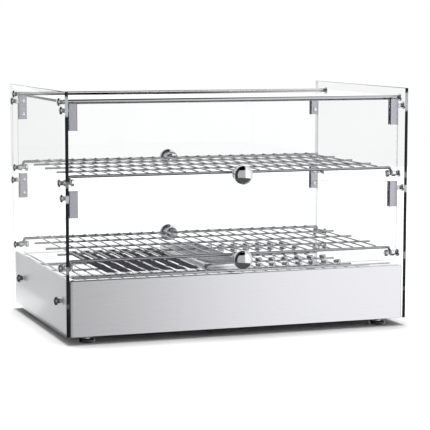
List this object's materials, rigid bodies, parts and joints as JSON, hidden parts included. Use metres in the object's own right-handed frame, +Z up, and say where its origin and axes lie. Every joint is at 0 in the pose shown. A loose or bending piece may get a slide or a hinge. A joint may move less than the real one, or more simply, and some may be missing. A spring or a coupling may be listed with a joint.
{
  "type": "hot food display case",
  "caption": "Table-top glass display case that keeps food warm: heated steel base, wire racks on pins, and clear flap doors hinged at their top edges front and rear.",
  "frame": {"origin": "centre of the whole object's bounding box in plan, on the surface that the feet stand on", "axes": "+X along the width, to the right for someone facing the front; +Y from the front to the rear, where the controls are; +Z up"},
  "size_m": [0.5646, 0.3942, 0.376],
  "materials": {
    "side_glass": "clear tempered glass, polished edges",
    "top_glass": "clear tempered glass",
    "door_glass": "clear tempered glass, polished edges",
    "chrome_rod": "bright chrome plate",
    "chrome_fitting": "bright chrome plate",
    "chrome_knob": "mirror chrome plate",
    "hinge_clamp": "satin metal",
    "base_steel": "fine horizontal brushing",
    "deck_steel": "bright annealed, nearly mirror",
    "tray_steel": "bright pressed sheet",
    "rack_wire": "bright plated wire",
    "foot": "black moulded pad",
    "dark_screw": "blackened steel cap",
    "heater_sheath": "heat-darkened steel sheath",
    "thermostat_body": "moulded phenolic",
    "black_plastic": "fine moulded texture",
    "red_rocker": "glossy translucent red"
  },
  "bodies": {
    "case": {"left_side_glass": "side_glass", "right_side_glass": "side_glass", "top_glass": "top_glass", "front_top_rod": "chrome_rod", "rear_top_rod": "chrome_rod", "base_casing": "base_steel", "deck_plate": "deck_steel", "bottom_plate": "base_steel", "front_left_foot": "foot", "front_left_rod_screw": "chrome_fitting", "front_left_base_screw": "dark_screw", "front_lower_left_hinge_pin": "chrome_fitting", "front_lower_left_shelf_pin": "chrome_fitting", "front_upper_left_hinge_pin": "chrome_fitting", "front_upper_left_shelf_pin": "chrome_fitting", "front_right_foot": "foot", "front_right_rod_screw": "chrome_fitting", "front_right_base_screw": "dark_screw", "front_lower_right_hinge_pin": "chrome_fitting", "front_lower_right_shelf_pin": "chrome_fitting", "front_upper_right_hinge_pin": "chrome_fitting", "front_upper_right_shelf_pin": "chrome_fitting", "rear_left_foot": "foot", "rear_left_rod_screw": "chrome_fitting", "rear_left_base_screw": "dark_screw", "rear_lower_left_hinge_pin": "chrome_fitting", "rear_lower_left_shelf_pin": "chrome_fitting", "rear_upper_left_hinge_pin": "chrome_fitting", "rear_upper_left_shelf_pin": "chrome_fitting", "rear_right_foot": "foot", "rear_right_rod_screw": "chrome_fitting", "rear_right_base_screw": "dark_screw", "rear_lower_right_hinge_pin": "chrome_fitting", "rear_lower_right_shelf_pin": "chrome_fitting", "rear_upper_right_hinge_pin": "chrome_fitting", "rear_upper_right_shelf_pin": "chrome_fitting", "heating_element": "heater_sheath", "thermostat": "thermostat_body", "cord_gland": "black_plastic"},
    "front_lower_door": {"front_lower_door_glass": "door_glass", "front_lower_knob": "chrome_knob", "front_lower_door_left_clamp": "hinge_clamp", "front_lower_door_right_clamp": "hinge_clamp"},
    "front_upper_door": {"front_upper_door_glass": "door_glass", "front_upper_knob": "chrome_knob", "front_upper_door_left_clamp": "hinge_clamp", "front_upper_door_right_clamp": "hinge_clamp"},
    "rear_lower_door": {"rear_lower_door_glass": "door_glass", "rear_lower_knob": "chrome_knob", "rear_lower_door_left_clamp": "hinge_clamp", "rear_lower_door_right_clamp": "hinge_clamp"},
    "rear_upper_door": {"rear_upper_door_glass": "door_glass", "rear_upper_knob": "chrome_knob", "rear_upper_door_left_clamp": "hinge_clamp", "rear_upper_door_right_clamp": "hinge_clamp"},
    "upper_rack": {"upper_rack": "rack_wire"},
    "lower_rack": {"lower_rack": "rack_wire"},
    "water_tray": {"water_tray": "tray_steel"},
    "thermostat_knob": {"thermostat_knob": "black_plastic"},
    "power_switch": {"power_switch": "red_rocker"}
  },
  "joints": [
    {"name": "front_lower_door_hinge", "type": "hinge", "parent": "case", "child": "front_lower_door", "pos_m": [0, -0.16075, 0.218], "axis": [-1, 0, 0], "range_deg": [0, 90]},
    {"name": "front_upper_door_hinge", "type": "hinge", "parent": "case", "child": "front_upper_door", "pos_m": [0, -0.16075, 0.348], "axis": [-1, 0, 0], "range_deg": [0, 90]},
    {"name": "rear_lower_door_hinge", "type": "hinge", "parent": "case", "child": "rear_lower_door", "pos_m": [0, 0.16025, 0.218], "axis": [1, 0, 0], "range_deg": [0, 90]},
    {"name": "rear_upper_door_hinge", "type": "hinge", "parent": "case", "child": "rear_upper_door", "pos_m": [0, 0.16025, 0.348], "axis": [1, 0, 0], "range_deg": [0, 90]},
    {"name": "upper_rack_lift", "type": "slide", "parent": "case", "child": "upper_rack", "axis": [0, 0, 1], "range_m": [0, 0.012]},
    {"name": "lower_rack_lift", "type": "slide", "parent": "case", "child": "lower_rack", "axis": [0, 0, 1], "range_m": [0, 0.024]},
    {"name": "water_tray_lift", "type": "slide", "parent": "case", "child": "water_tray", "axis": [0, 0, 1], "range_m": [0, 0.005]},
    {"name": "thermostat_turn", "type": "hinge", "parent": "case", "child": "thermostat_knob", "pos_m": [0.17, 0.18055, 0.058], "axis": [0, -1, 0], "range_deg": [0, 270]},
    {"name": "power_switch_rock", "type": "hinge", "parent": "case", "child": "power_switch", "pos_m": [0.1, 0.17925, 0.058], "axis": [-1, 0, 0], "range_deg": [0, 14]}
  ]
}
